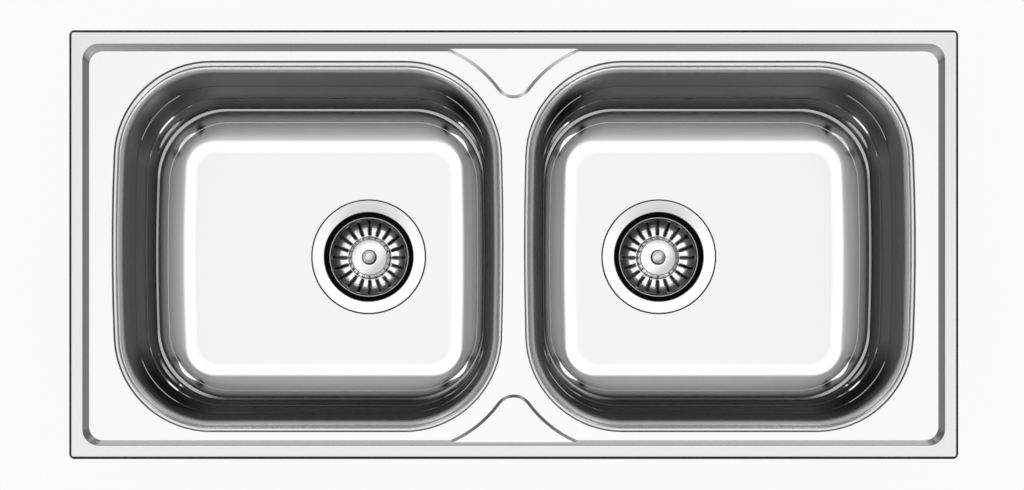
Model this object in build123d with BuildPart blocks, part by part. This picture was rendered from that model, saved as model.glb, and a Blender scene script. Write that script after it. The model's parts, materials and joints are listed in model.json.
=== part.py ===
from build123d import *
from math import cos, radians, sin, sqrt, tan
import os

# Inset double bowl kitchen sink of pressed stainless steel, with its two basket
# strainer wastes and the clips that pull its rim down onto a worktop.
# Millimetres. The origin is the middle of the worktop cut-out, on the worktop's top:
# +X runs along the sink to the right, +Y to the back, +Z up.

os.makedirs("parts", exist_ok=True)

# ---------------------------------------------------------------- driving sizes
# Rim and deck
sink_length = 860.0
sink_width = 415.0
sheet = 0.8                 # stainless steel sheet of deck and bowls
rim_height = 5.0            # border's top above the worktop
rim_corner = 5.0            # plan radius of the sink's corners
rim_edge = 3.0              # rolled edge between border and skirt
border = 13.3               # width of the raised border
step_run = 6.0              # width of the sloped step inside the border, at the ends
step_run_back = 7.4
step_run_front = 4.7
deck_height = 2.0           # deck's top above the worktop
step_corner_top = 15.5      # plan radii of the step's corners
step_corner_foot = 13.5
step_bend = 1.5             # bend radius on the visible side of the step

# Platforms between the bowls, one at the back for the tap and its twin at the front
platform_rise = 1.0
platform_edge = 3.0         # width of the platform's sloped edge
platform_gap = 17.0         # deck left between a bowl's corner and the platform
platform_tip = 19.5         # radius of the rounded tip

# Bowls
end_margin = 40.85          # sink's end to the nearer bowl
divider = 19.7              # between the bowls
back_margin = 29.55         # the bowls sit a little nearer the front
front_margin = 26.15
bowl_corner = 94.5
outer_bow = 2000.0          # radii of the gently bowed sides
divider_bow = 3000.0
bowl_flange = 4.0           # lap of the bowl's flange under the deck, seam welded
band_width = 5.0            # ground band around the bowl's mouth
band_angle = 15.6           # how steeply the band falls into the bowl
shoulder_radius = 7.5
draft_x = 5.15              # lean of the end walls, in degrees
draft_y = 9.75              # lean of the front and back walls
bowl_depth = 158.0          # deck's top to bowl's floor
cove_radius = 32.0          # between walls and floor
foot_corner = 60.0          # plan radius of the walls' corners at floor level
drain_shift = 47.15         # bowl's middle to its drain, toward the divider

# Waste fittings
flange_radius = 59.0
flange_sheet = 1.0
flange_lip = 1.5            # flat outer edge of the flange
flange_fall = 2.2           # how far the flange's cone falls to its throat
recess_depth = 3.5          # pressed seat for the flange in the bowl's floor
recess_slope = 2.0
throat_radius = 46.8
cup_radius = 42.6
cup_seat_fall = 2.5         # height of the cone that the basket's seal sits on
cup_depth = 26.0
cup_hole_radius = 8.5
cup_hole_circle = 25.0
cup_hole_count = 6
seal_ring_width = 7.5
gasket_thickness = 1.5
body_flange_radius = 57.0
body_flange_thickness = 4.0
body_wall = 2.5
body_straight = 41.5        # floor of the bowl to the start of the funnel
body_funnel = 18.0
outlet_radius = 23.9        # outside of the G 1 1/2 outlet thread
outlet_wall = 3.0
outlet_length = 20.0
hub_radius = 9.0
hub_top = 31.5              # below the bowl's floor
hub_height = 12.0
rib_thickness = 3.0
rib_height = 8.0
rib_count = 4
insert_flats = 10.0
insert_height = 8.0
waste_screw_radius = 3.0
waste_screw_length = 20.0
waste_screw_head_radius = 6.5
waste_screw_head_height = 6.5
stem_socket_depth = 5.0

# Strainer basket
basket_rim_radius = 41.9
basket_bead = 0.95          # radius of the rolled rim
basket_rim_depth = 4.2      # top of the rim below the bowl's floor
basket_sheet = 0.7
basket_foot_radius = 36.0
basket_depth = 17.0         # basket's floor below the bowl's floor
basket_bend = 9.0           # between the basket's wall and floor
plateau_foot_radius = 21.7
plateau_bend = 1.5
plateau_radius = 19.1
plateau_depth = 9.2
dome_rise = 1.6
slot_count = 20
slot_width = 2.6
slot_start = 23.4
slot_end = 39.0
seal_height = 4.6
seal_skirt = 1.4            # height of the seal's square outer edge
knob_radius = 7.2
knob_height = 4.6
knob_side = 1.8             # height of the knob's upright edge
knob_top_radius = 2.5
knob_neck_radius = 4.2
knob_neck_height = 1.6
stem_radius = 3.0
stem_depth = 24.2           # end of the stem below the bowl's floor

# Worktop, seal and pads
cutout_margin = 10.0        # sink's edge to the edge of the worktop cut-out
rim_seal_inset = 3.5
rim_seal_width = 8.0
pad_length = 100.0
pad_width = 200.0
pad_thickness = 2.0
pad_corner = 12.0
pad_shift = 75.5            # bowl's middle to the pad, away from the divider

# Clips
clip_end = 80.0             # sink's end to the corner clips; others on its middle lines
lug_inset = 10.5            # cut-out's edge in to the lug's upright leg
lug_sheet = 1.0
lug_leg = 9.0
lug_drop = 12.0
lug_width = 30.0
lug_slot_top = 3.5
lug_slot_foot = 8.0
lug_bend = 1.0              # inside radii of the folded pieces
strip_width = 14.0
strip_sheet = 1.5
strip_end = 76.0
hook_rise = 5.0
tab_depth = 26.5            # threaded tab below the worktop's top
tab_width = 10.0
tab_length = 12.5
tab_collar_radius = 4.2
tab_collar_height = 3.0
screw_offset = 7.5          # strip's inner face to the screw's axis
clip_screw_radius = 2.5
clip_screw_top = 23.0       # end of the thread below the worktop's top, clip open
clip_head_flats = 8.0
clip_head_height = 3.5
clip_collar_radius = 4.0
clip_collar_height = 1.2
jaw_sheet = 2.0
jaw_width = 20.0
jaw_plate_top = 68.0        # clip open
jaw_reach = 9.0             # out under the worktop
jaw_tail = 5.5              # inward past the screw's axis
jaw_claw_top = 42.0         # tip of the claw below the worktop's top, clip open
jaw_bend = 1.5
claw_notches = 4
claw_notch = 2.8            # side of the square that cuts a notch between two teeth

# Clearances
running_gap = 0.3           # between pieces that move past each other
thread_gap = 0.05
hole_gap = 1.0              # around the waste flange in the bowl's hole
flange_gap = 0.8            # around the flange's edge in its pressed seat

# ---------------------------------------------------------------- worked out from them
bowl_length = (sink_length - 2 * end_margin - divider) / 2
bowl_width = sink_width - back_margin - front_margin
bowl_x = (divider + bowl_length) / 2        # right bowl; the left one is its mirror image
bowl_y = (front_margin - back_margin) / 2
drain_x = bowl_x - drain_shift
pad_x = bowl_x + pad_shift
clip_x = sink_length / 2 - clip_end
deck_length = sink_length - 2 * (border + step_run)
deck_width = sink_width - 2 * border - step_run_back - step_run_front
deck_y = (step_run_front - step_run_back) / 2
floor_z = deck_height - bowl_depth
under_deck = deck_height - sheet
seat_z = floor_z - recess_depth
seat_under = seat_z - sheet
gasket_under = seat_under - gasket_thickness
half_x = bowl_length / 2
half_y = bowl_width / 2
shoulder_turn = radians(90 - band_angle - draft_x)
shoulder_inset = band_width + shoulder_radius * tan(shoulder_turn / 2)
shoulder_z = under_deck - shoulder_inset * tan(radians(band_angle))
floor_hole_radius = throat_radius + flange_sheet + hole_gap
basket_wall_top = basket_rim_radius - 2 * basket_bead + basket_sheet
basket_bead_z = -basket_rim_depth - basket_bead
seal_top = basket_bead_z - basket_bead
seal_lip_radius = throat_radius - running_gap
cone_slope = (throat_radius - cup_radius) / cup_seat_fall
seat_drop = running_gap * sqrt(1 + cone_slope**2) / cone_slope
throat_depth = seal_skirt - seal_top + seat_drop - running_gap / cone_slope
cutout_x = sink_length / 2 - cutout_margin
cutout_y = sink_width / 2 - cutout_margin
strip_face = lug_inset + lug_sheet          # strip lies against the lug's inner side
clip_axis = strip_face + strip_sheet + screw_offset
overcut = 1.0                               # how far cutters pass the faces they cut


def wall_inset(draft, z, thickness):
    """How far a bowl's wall has come in at height z, on its inside or its outside."""
    lean = radians(draft)
    return shoulder_inset + (shoulder_z - z) * tan(lean) - thickness / cos(lean)


def corner_centre(bow, radius):
    """Centre of a bowl's rounded corner, from the bowl's middle."""
    y = half_y - radius
    x = half_x - bow + sqrt((bow - radius) ** 2 - y**2)
    return x, y


def bowl_outline(side, inset_x, inset_y, corner):
    """Plan of a bowl: straight front and back, gently bowed ends, large corners."""
    x, y = half_x - inset_x, half_y - inset_y
    outer_sag = outer_bow - sqrt(outer_bow**2 - y**2)
    divider_sag = divider_bow - sqrt(divider_bow**2 - y**2)
    outer_x, divider_x = side * (x - outer_sag), -side * (x - divider_sag)
    with BuildSketch() as outline:
        with BuildLine():
            Line((outer_x, y), (divider_x, y))
            ThreePointArc((divider_x, y), (-side * x, 0), (divider_x, -y))
            Line((divider_x, -y), (outer_x, -y))
            ThreePointArc((outer_x, -y), (side * x, 0), (outer_x, y))
        make_face()
        fillet(outline.vertices(), radius=corner)
    return outline.sketch


def bowl_plane(side, z):
    return Plane((side * bowl_x, bowl_y, z))


def drain_plane(side, z):
    return Plane((side * drain_x, bowl_y, z))


# ---------------------------------------------------------------- deck
def platform_outline(facing):
    """Ground plan of a platform, its sides concentric with the bowls' corners."""
    x, y = corner_centre(divider_bow, bowl_corner)
    centre_x, centre_y = bowl_x - x, facing * bowl_y + y
    border_y = sink_width / 2 - border
    with BuildSketch() as outline:
        with Locations((0, facing * (centre_y + border_y) / 2)):
            Rectangle(2 * centre_x, border_y - centre_y)
        with Locations((-centre_x, facing * centre_y), (centre_x, facing * centre_y)):
            Circle(bowl_corner + platform_gap, mode=Mode.SUBTRACT)
        tip = min(outline.vertices(), key=lambda corner: abs(corner.Y))
        fillet(tip, radius=platform_tip)
    return outline.sketch


def platform_form(facing, foot, top):
    """Solid of one platform with its sloped edge."""
    with BuildPart() as platform:
        with BuildSketch(Plane.XY.offset(foot)):
            add(platform_outline(facing))
        extrude(amount=top - foot)
        crown = platform.faces().sort_by(Axis.Z)[-1]
        chamfer(crown.edges(), platform_edge, platform_rise, reference=crown)
    return platform.part


def deck_form(thickness):
    """Solid under the sink's top surface, or under that surface lowered by a thickness."""
    top = rim_height - thickness
    foot = -overcut if thickness else 0
    with BuildPart() as form:
        with BuildSketch(Plane.XY.offset(foot)):
            RectangleRounded(
                sink_length - 2 * thickness,
                sink_width - 2 * thickness,
                rim_corner - thickness,
            )
        extrude(amount=top - foot)
        fillet(form.faces().sort_by(Axis.Z)[-1].edges(), radius=rim_edge - thickness)
        with BuildSketch(Plane.XY.offset(top)):
            RectangleRounded(
                sink_length - 2 * border, sink_width - 2 * border, step_corner_top
            )
        with BuildSketch(Plane.XY.offset(deck_height - thickness)):
            with Locations((0, deck_y)):
                RectangleRounded(deck_length, deck_width, step_corner_foot)
        loft(ruled=True, mode=Mode.SUBTRACT)
        deck = form.faces().filter_by(Plane.XY).sort_by(Axis.Z)[-2]
        fillet(deck.edges(), radius=step_bend + thickness)
        edge = form.faces().sort_by(Axis.Z)[-1].inner_wires()
        fillet(edge.edges(), radius=step_bend - thickness)
        for facing in (1, -1):
            add(platform_form(facing, foot, deck_height + platform_rise - thickness))
    return form.part


with BuildPart() as sink_top:
    add(deck_form(0))
    add(deck_form(sheet), mode=Mode.SUBTRACT)
    for side in (-1, 1):
        with BuildSketch(bowl_plane(side, 0)):
            add(bowl_outline(side, 0, 0, bowl_corner))
        extrude(amount=rim_height, mode=Mode.SUBTRACT)
sink_top.part.label = "sink_top"
export_step(sink_top.part, "parts/sink_top.step")


# ---------------------------------------------------------------- bowls
def bowl_form(side, thickness):
    """Solid that fills a bowl, or fills the bowl and its sheet when given a thickness."""
    shoulder = shoulder_z - sin(shoulder_turn) * thickness if thickness else shoulder_z
    foot = floor_z - thickness
    with BuildPart() as form:
        with BuildSketch(bowl_plane(side, under_deck - thickness)):
            add(bowl_outline(side, 0, 0, bowl_corner))
        with BuildSketch(bowl_plane(side, shoulder)):
            in_x = wall_inset(draft_x, shoulder, thickness)
            in_y = wall_inset(draft_y, shoulder, thickness)
            add(bowl_outline(side, in_x, in_y, bowl_corner - in_x))
        with BuildSketch(bowl_plane(side, foot)):
            in_x = wall_inset(draft_x, foot, thickness)
            in_y = wall_inset(draft_y, foot, thickness)
            add(bowl_outline(side, in_x, in_y, foot_corner))
        loft(ruled=True)
        edges = form.edges().filter_by_position(Axis.Z, foot, foot + 0.01)
        fillet(edges, radius=cove_radius + thickness)
        edges = form.edges().filter_by_position(Axis.Z, shoulder - 0.01, shoulder + 0.01)
        fillet(edges, radius=shoulder_radius - thickness)
        with Locations((side * drain_x, bowl_y, foot)):
            Cone(
                flange_radius + flange_gap + thickness,
                flange_radius + flange_gap + recess_slope + thickness,
                recess_depth,
                align=(Align.CENTER, Align.CENTER, Align.MAX),
            )
    return form.part


def make_bowl(side):
    """Deep drawn bowl with its flange, its band and the pressed seat for the waste."""
    with BuildPart() as bowl:
        with BuildSketch(bowl_plane(side, under_deck - sheet)):
            add(bowl_outline(side, -bowl_flange, -bowl_flange, bowl_corner + bowl_flange))
        extrude(amount=sheet)
        add(bowl_form(side, sheet))
        add(bowl_form(side, 0), mode=Mode.SUBTRACT)
        with Locations((side * drain_x, bowl_y, seat_z)):
            Cylinder(floor_hole_radius, 2 * recess_depth, mode=Mode.SUBTRACT)
    return bowl.part


def make_pad(side):
    """Sound deadening pad glued under a bowl's floor."""
    with BuildPart() as pad:
        with BuildSketch(Plane((side * pad_x, bowl_y, floor_z - sheet - pad_thickness))):
            RectangleRounded(pad_length, pad_width, pad_corner)
        extrude(amount=pad_thickness)
    return pad.part


with BuildPart() as rim_seal:
    with BuildSketch():
        for inset, mode in (
            (rim_seal_inset, Mode.ADD),
            (rim_seal_inset + rim_seal_width, Mode.SUBTRACT),
        ):
            RectangleRounded(
                sink_length - 2 * inset,
                sink_width - 2 * inset,
                step_corner_top,
                mode=mode,
            )
    extrude(amount=rim_height - sheet)
rim_seal.part.label = "rim_seal"
export_step(rim_seal.part, "parts/rim_seal.step")


# ---------------------------------------------------------------- waste fittings
def spun(side, points):
    """Ring or cup turned about a drain's axis; heights count from the bowl's floor."""
    upright = Plane((side * drain_x, bowl_y, floor_z), x_dir=(1, 0, 0), z_dir=(0, -1, 0))
    with BuildPart() as ring:
        with BuildSketch(upright):
            with BuildLine():
                Polyline(*points, close=True)
            make_face()
        revolve(axis=Axis(upright.origin, (0, 0, 1)))
    return ring.part


def make_waste_flange(side):
    """Stainless dish: flange, throat, seat for the basket's seal, and perforated cup."""
    t = flange_sheet
    cone_foot = throat_depth + cup_seat_fall
    top = [
        (flange_radius, 0),
        (flange_radius - flange_lip, 0),
        (throat_radius, -flange_fall),
        (throat_radius, -throat_depth),
        (cup_radius, -cone_foot),
        (cup_radius, -cup_depth),
        (0, -cup_depth),
    ]
    under = [
        (0, -cup_depth - t),
        (cup_radius + t, -cup_depth - t),
        (cup_radius + t, -cone_foot - t / 2),
        (throat_radius + t, -throat_depth - t / 2),
        (throat_radius + t, -flange_fall - t / 2),
        (flange_radius - flange_lip, -t),
        (flange_radius, -t),
    ]
    with BuildPart() as flange:
        add(spun(side, top + under))
        with Locations(drain_plane(side, floor_z - cup_depth).location):
            with PolarLocations(cup_hole_circle, cup_hole_count):
                Cylinder(cup_hole_radius, 4 * t, mode=Mode.SUBTRACT)
            Cylinder(waste_screw_radius + thread_gap, 4 * t, mode=Mode.SUBTRACT)
    return flange.part


def make_flange_seal(side):
    """Rubber ring between the flange and its seat in the bowl's floor."""
    outer = flange_radius - running_gap
    lip = flange_radius - flange_lip
    inner = outer - seal_ring_width
    slope = flange_fall / (lip - throat_radius)
    inner_top = -flange_sheet - (lip - inner) * slope
    return spun(
        side,
        [
            (inner, -recess_depth),
            (outer, -recess_depth),
            (outer, -flange_sheet),
            (lip, -flange_sheet),
            (inner, inner_top),
        ],
    )


def make_body_gasket(side):
    """Flat gasket between the underside of the floor and the waste body."""
    top = seat_under - floor_z
    bottom = gasket_under - floor_z
    inner = floor_hole_radius
    points = [(inner, bottom), (body_flange_radius, bottom), (body_flange_radius, top), (inner, top)]
    return spun(side, points)


def make_waste_body(side):
    """Moulded body under the bowl: flange, funnel, outlet and the spider for the screw."""
    top = gasket_under - floor_z
    wall = floor_hole_radius + body_wall
    neck = -body_straight - body_funnel
    bore = outlet_radius - outlet_wall
    outside = [
        (body_flange_radius, top),
        (body_flange_radius, top - body_flange_thickness),
        (wall, top - body_flange_thickness),
        (wall, -body_straight),
        (outlet_radius, neck),
        (outlet_radius, neck - outlet_length),
    ]
    inside = [
        (bore, neck - outlet_length),
        (bore, neck),
        (floor_hole_radius, -body_straight),
        (floor_hole_radius, top),
    ]
    hub_z = floor_z - hub_top
    with BuildPart() as body:
        add(spun(side, outside + inside))
        with Locations((side * drain_x, bowl_y, hub_z)):
            with PolarLocations(0, rib_count):
                Box(
                    floor_hole_radius + body_wall / 2,
                    rib_thickness,
                    rib_height,
                    align=(Align.MIN, Align.CENTER, Align.MAX),
                )
            Cylinder(hub_radius, hub_height, align=(Align.CENTER, Align.CENTER, Align.MAX))
            Cylinder(
                waste_screw_radius + thread_gap, 3 * hub_height, mode=Mode.SUBTRACT
            )
        with BuildSketch(drain_plane(side, hub_z)):
            RegularPolygon(insert_flats / 2, 6, major_radius=False)
        extrude(amount=-insert_height, mode=Mode.SUBTRACT)
    return body.part


def make_waste_insert(side):
    """Hexagonal brass insert in the body's hub."""
    with BuildPart() as insert:
        with BuildSketch(drain_plane(side, floor_z - hub_top)):
            RegularPolygon(insert_flats / 2, 6, major_radius=False)
            Circle(waste_screw_radius + thread_gap, mode=Mode.SUBTRACT)
        extrude(amount=-insert_height)
    return insert.part


def make_waste_screw(side):
    """Screw that pulls flange and body together, with a socket for the basket's stem."""
    z = floor_z - cup_depth
    with BuildPart() as screw:
        with BuildSketch(drain_plane(side, z)):
            Circle(waste_screw_head_radius)
        extrude(amount=waste_screw_head_height)
        chamfer(screw.faces().sort_by(Axis.Z)[-1].edges(), length=0.6)
        with BuildSketch(drain_plane(side, z)):
            Circle(waste_screw_radius)
        extrude(amount=-waste_screw_length)
        with BuildSketch(drain_plane(side, z + waste_screw_head_height)):
            Circle(stem_radius + running_gap)
        extrude(amount=-stem_socket_depth, mode=Mode.SUBTRACT)
    return screw.part


# ---------------------------------------------------------------- strainer basket
def make_basket(side):
    """Pressed strainer basket: rolled rim, slotted bowl and a raised plateau."""
    upright = Plane((side * drain_x, bowl_y, floor_z), x_dir=(1, 0, 0), z_dir=(0, -1, 0))
    t = basket_sheet
    dome = dome_rise - plateau_depth
    dome_side = dome - 0.3 * dome_rise
    with BuildPart() as basket:
        with BuildSketch(upright) as section:
            with BuildLine():
                wall = Polyline(
                    (basket_wall_top - t, basket_bead_z),
                    (basket_foot_radius - t, -basket_depth),
                    (plateau_foot_radius, -basket_depth),
                    (plateau_radius, -plateau_depth),
                )
                ThreePointArc(wall @ 1, (plateau_radius / 2, dome_side), (0, dome))
                Line((0, dome), (0, dome - t))
                ThreePointArc(
                    (0, dome - t),
                    (plateau_radius / 2, dome_side - t),
                    (plateau_radius - t, -plateau_depth - t),
                )
                Polyline(
                    (plateau_radius - t, -plateau_depth - t),
                    (plateau_foot_radius - t, -basket_depth - t),
                    (basket_foot_radius, -basket_depth - t),
                    (basket_wall_top, basket_bead_z),
                    (basket_wall_top - t, basket_bead_z),
                )
            make_face()
            for depth, extra in ((basket_depth, 0), (basket_depth + t, t)):
                foot = section.vertices().filter_by_position(
                    Axis.Y, -depth - 0.01, -depth + 0.01
                )
                fillet(foot.sort_by(Axis.X)[-1], radius=basket_bend + extra)
                foot = section.vertices().filter_by_position(
                    Axis.Y, -depth - 0.01, -depth + 0.01
                )
                fillet(foot.sort_by(Axis.X)[0], radius=plateau_bend + extra)
        revolve(axis=Axis(upright.origin, (0, 0, 1)))
        with BuildSketch(upright):
            with Locations((basket_rim_radius - basket_bead, basket_bead_z)):
                Circle(basket_bead)
        revolve(axis=Axis(upright.origin, (0, 0, 1)))
        slot_middle = (slot_start + slot_end) / 2
        slot_straight = slot_end - slot_start - slot_width
        with BuildSketch(drain_plane(side, floor_z - basket_depth - 2 * t)):
            with PolarLocations(slot_middle, slot_count, start_angle=90):
                SlotCenterToCenter(slot_straight, slot_width)
        extrude(amount=basket_depth - basket_rim_depth - 4 * basket_bead, mode=Mode.SUBTRACT)
        with Locations((side * drain_x, bowl_y, floor_z - plateau_depth)):
            Cylinder(stem_radius, 4 * dome_rise, mode=Mode.SUBTRACT)
    return basket.part


def make_basket_seal(side):
    """Rubber ring under the basket's rim; its lip closes on the cone in the waste."""
    wall_slope = (basket_wall_top - basket_foot_radius) / (
        basket_depth + basket_sheet + basket_bead_z
    )
    foot = seal_top - seal_height
    lip_foot = seal_top - seal_skirt
    return spun(
        side,
        [
            (basket_wall_top - wall_slope * basket_bead, seal_top),
            (seal_lip_radius, seal_top),
            (seal_lip_radius, lip_foot),
            (seal_lip_radius - cone_slope * (lip_foot - foot), foot),
            (basket_wall_top - wall_slope * (basket_bead + seal_height), foot),
        ],
    )


def make_basket_knob(side):
    """Turned pull knob on the stem that drops into the waste's screw."""
    upright = Plane((side * drain_x, bowl_y, floor_z), x_dir=(1, 0, 0), z_dir=(0, -1, 0))
    neck_z = dome_rise - plateau_depth
    cap_z = neck_z + knob_neck_height
    top_z = cap_z + knob_height
    with BuildPart() as knob:
        with BuildSketch(upright):
            with BuildLine():
                Polyline(
                    (0, top_z),
                    (0, -stem_depth),
                    (stem_radius, -stem_depth),
                    (stem_radius, neck_z),
                    (knob_neck_radius, neck_z),
                    (knob_neck_radius, cap_z),
                    (knob_radius, cap_z),
                )
                Line((knob_radius, cap_z), (knob_radius, cap_z + knob_side))
                crown = ThreePointArc(
                    (knob_radius, cap_z + knob_side),
                    (0.8 * knob_radius, top_z - 0.3 * (knob_height - knob_side)),
                    (knob_top_radius, top_z),
                )
                Line(crown @ 1, (0, top_z))
            make_face()
        revolve(axis=Axis(upright.origin, (0, 0, 1)))
    return knob.part


# ---------------------------------------------------------------- clips
clip_places = {
    "front_left": ((-clip_x, -cutout_y), (0, -1)),
    "front_centre": ((0, -cutout_y), (0, -1)),
    "front_right": ((clip_x, -cutout_y), (0, -1)),
    "back_left": ((-clip_x, cutout_y), (0, 1)),
    "back_centre": ((0, cutout_y), (0, 1)),
    "back_right": ((clip_x, cutout_y), (0, 1)),
    "left": ((-cutout_x, bowl_y), (-1, 0)),
    "right": ((cutout_x, bowl_y), (1, 0)),
}


def clip_plane(place, z):
    """Level plane at a clip: its x runs outward from the edge of the cut-out."""
    (x, y), (out_x, out_y) = clip_places[place]
    return Plane((x, y, z), x_dir=(out_x, out_y, 0), z_dir=(0, 0, 1))


def clip_section(place):
    """Upright plane through a clip: x runs outward, y up."""
    (x, y), (out_x, out_y) = clip_places[place]
    return Plane((x, y, 0), x_dir=(out_x, out_y, 0), z_dir=(out_y, -out_x, 0))


def bend(section, x, y, radius):
    """Round the corner of a folded piece's section that lies at x, y."""
    fillet(section.vertices().sort_by_distance((x, y, 0))[0], radius=radius)


def make_lug(place):
    """Slotted angle welded under the deck; the middle ones reach up to a platform."""
    seat = under_deck + (platform_rise if "centre" in place else 0)
    inner = -lug_inset - lug_leg
    with BuildPart() as lug:
        with BuildSketch(clip_section(place)) as section:
            with BuildLine():
                Polyline(
                    (inner, seat),
                    (-lug_inset, seat),
                    (-lug_inset, -lug_drop),
                    (-lug_inset - lug_sheet, -lug_drop),
                    (-lug_inset - lug_sheet, seat - lug_sheet),
                    (inner, seat - lug_sheet),
                    close=True,
                )
            make_face()
            bend(section, -lug_inset - lug_sheet, seat - lug_sheet, lug_bend)
            bend(section, -lug_inset, seat, lug_bend + lug_sheet)
        extrude(amount=lug_width / 2, both=True)
        slot_height = lug_slot_foot - lug_slot_top
        with BuildSketch(clip_plane(place, -lug_slot_foot)):
            with Locations((-lug_inset, 0)):
                Rectangle(4 * lug_sheet, strip_width + 2 * running_gap)
        extrude(amount=slot_height, mode=Mode.SUBTRACT)
    return lug.part


def make_hanger(place):
    """Strip hooked through the lug's slot, with a threaded tab lanced out of it."""
    inner = -strip_face - strip_sheet
    hook = -lug_inset + running_gap
    hook_top = -lug_slot_foot + hook_rise
    with BuildPart() as hanger:
        with BuildSketch(clip_section(place)) as section:
            with BuildLine():
                Polyline(
                    (inner, -strip_end),
                    (-strip_face, -strip_end),
                    (-strip_face, -lug_slot_foot),
                    (hook + strip_sheet, -lug_slot_foot),
                    (hook + strip_sheet, hook_top),
                    (hook, hook_top),
                    (hook, -lug_slot_foot + strip_sheet),
                    (inner, -lug_slot_foot + strip_sheet),
                    close=True,
                )
            make_face()
            bend(section, inner, -lug_slot_foot + strip_sheet, strip_sheet)
            bend(section, hook + strip_sheet, -lug_slot_foot, strip_sheet)
        extrude(amount=strip_width / 2, both=True)
        with BuildSketch(clip_plane(place, -tab_depth - strip_sheet)):
            with Locations((-strip_face, 0)):
                Rectangle(4 * strip_sheet, tab_width)
        extrude(amount=-tab_length, mode=Mode.SUBTRACT)
        with BuildSketch(clip_plane(place, -tab_depth)):
            with Locations((inner, 0)):
                Rectangle(tab_length, tab_width, align=(Align.MAX, Align.CENTER))
        extrude(amount=-strip_sheet)
        with BuildSketch(clip_plane(place, -tab_depth)):
            with Locations((-clip_axis, 0)):
                Circle(tab_collar_radius)
        extrude(amount=-strip_sheet - tab_collar_height)
        with BuildSketch(clip_plane(place, -tab_depth)):
            with Locations((-clip_axis, 0)):
                Circle(clip_screw_radius + thread_gap)
        extrude(amount=-2 * tab_collar_height - strip_sheet, mode=Mode.SUBTRACT)
    return hanger.part


def make_jaw(place):
    """Jaw guided by the strip; its upturned claw presses on the worktop's underside."""
    inner = -clip_axis - jaw_tail
    with BuildPart() as jaw:
        with BuildSketch(clip_section(place)) as section:
            with BuildLine():
                Polyline(
                    (inner, -jaw_plate_top),
                    (jaw_reach - jaw_sheet, -jaw_plate_top),
                    (jaw_reach - jaw_sheet, -jaw_claw_top),
                    (jaw_reach, -jaw_claw_top),
                    (jaw_reach, -jaw_plate_top - jaw_sheet),
                    (inner, -jaw_plate_top - jaw_sheet),
                    close=True,
                )
            make_face()
            bend(section, jaw_reach - jaw_sheet, -jaw_plate_top, jaw_bend)
            bend(section, jaw_reach, -jaw_plate_top - jaw_sheet, jaw_bend + jaw_sheet)
        extrude(amount=jaw_width / 2, both=True)
        with BuildSketch(clip_plane(place, -jaw_plate_top)):
            with Locations((-strip_face - strip_sheet / 2, 0)):
                Rectangle(strip_sheet + 2 * running_gap, strip_width + 2 * running_gap)
            with Locations((-clip_axis, 0)):
                Circle(clip_screw_radius + running_gap)
        extrude(amount=-jaw_sheet, mode=Mode.SUBTRACT)
        with Locations(clip_plane(place, -jaw_claw_top).location):
            with Locations((jaw_reach - jaw_sheet / 2, 0)):
                with GridLocations(0, jaw_width / claw_notches, 1, claw_notches):
                    Box(
                        2 * jaw_sheet,
                        claw_notch,
                        claw_notch,
                        rotation=(45, 0, 0),
                        mode=Mode.SUBTRACT,
                    )
    return jaw.part


def make_clip_screw(place):
    """Screw held captive in the jaw between its head and a pressed-on collar."""
    head_top = -jaw_plate_top - jaw_sheet - running_gap
    collar_foot = -jaw_plate_top + running_gap
    with BuildPart() as screw:
        with BuildSketch(clip_plane(place, head_top - clip_head_height)):
            with Locations((-clip_axis, 0)):
                RegularPolygon(clip_head_flats / 2, 6, major_radius=False)
        extrude(amount=clip_head_height)
        with BuildSketch(clip_plane(place, head_top)):
            with Locations((-clip_axis, 0)):
                Circle(clip_screw_radius)
        extrude(amount=-clip_screw_top - head_top)
        with BuildSketch(clip_plane(place, collar_foot)):
            with Locations((-clip_axis, 0)):
                Circle(clip_collar_radius)
        extrude(amount=clip_collar_height)
    return screw.part


# ---------------------------------------------------------------- pieces made for both sides
side_makers = {
    "bowl": make_bowl,
    "sound_pad": make_pad,
    "waste_flange": make_waste_flange,
    "flange_seal": make_flange_seal,
    "body_gasket": make_body_gasket,
    "waste_body": make_waste_body,
    "waste_insert": make_waste_insert,
    "waste_screw": make_waste_screw,
    "basket": make_basket,
    "basket_seal": make_basket_seal,
    "basket_knob": make_basket_knob,
}
for name, maker in side_makers.items():
    for side, side_name in ((-1, "left"), (1, "right")):
        piece = maker(side)
        piece.label = f"{name}_{side_name}"
        export_step(piece, f"parts/{piece.label}.step")

clip_makers = {
    "clip_lug": make_lug,
    "clip_hanger": make_hanger,
    "clip_jaw": make_jaw,
    "clip_screw": make_clip_screw,
}
for name, maker in clip_makers.items():
    for place in clip_places:
        piece = maker(place)
        piece.label = f"{name}_{place}"
        export_step(piece, f"parts/{piece.label}.step")
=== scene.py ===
# %% [markdown]
# # Double bowl kitchen sink
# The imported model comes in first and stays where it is. Each cell below adds one thing to it:
# the camera, the finishes, the drawn bowls, the polished wastes with their baskets and knobs,
# the threaded screws, and at the end the studio. The scene is in metres, +X right, +Y back and
# +Z up, with the zero level at the worktop's top. The pieces' own sizes are in millimetres.

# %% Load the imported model
import json
from collections import namedtuple
from math import asin, cos, hypot, pi, radians, sin, sqrt, tan

import bmesh
import bpy
from mathutils import Matrix, Vector

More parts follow.
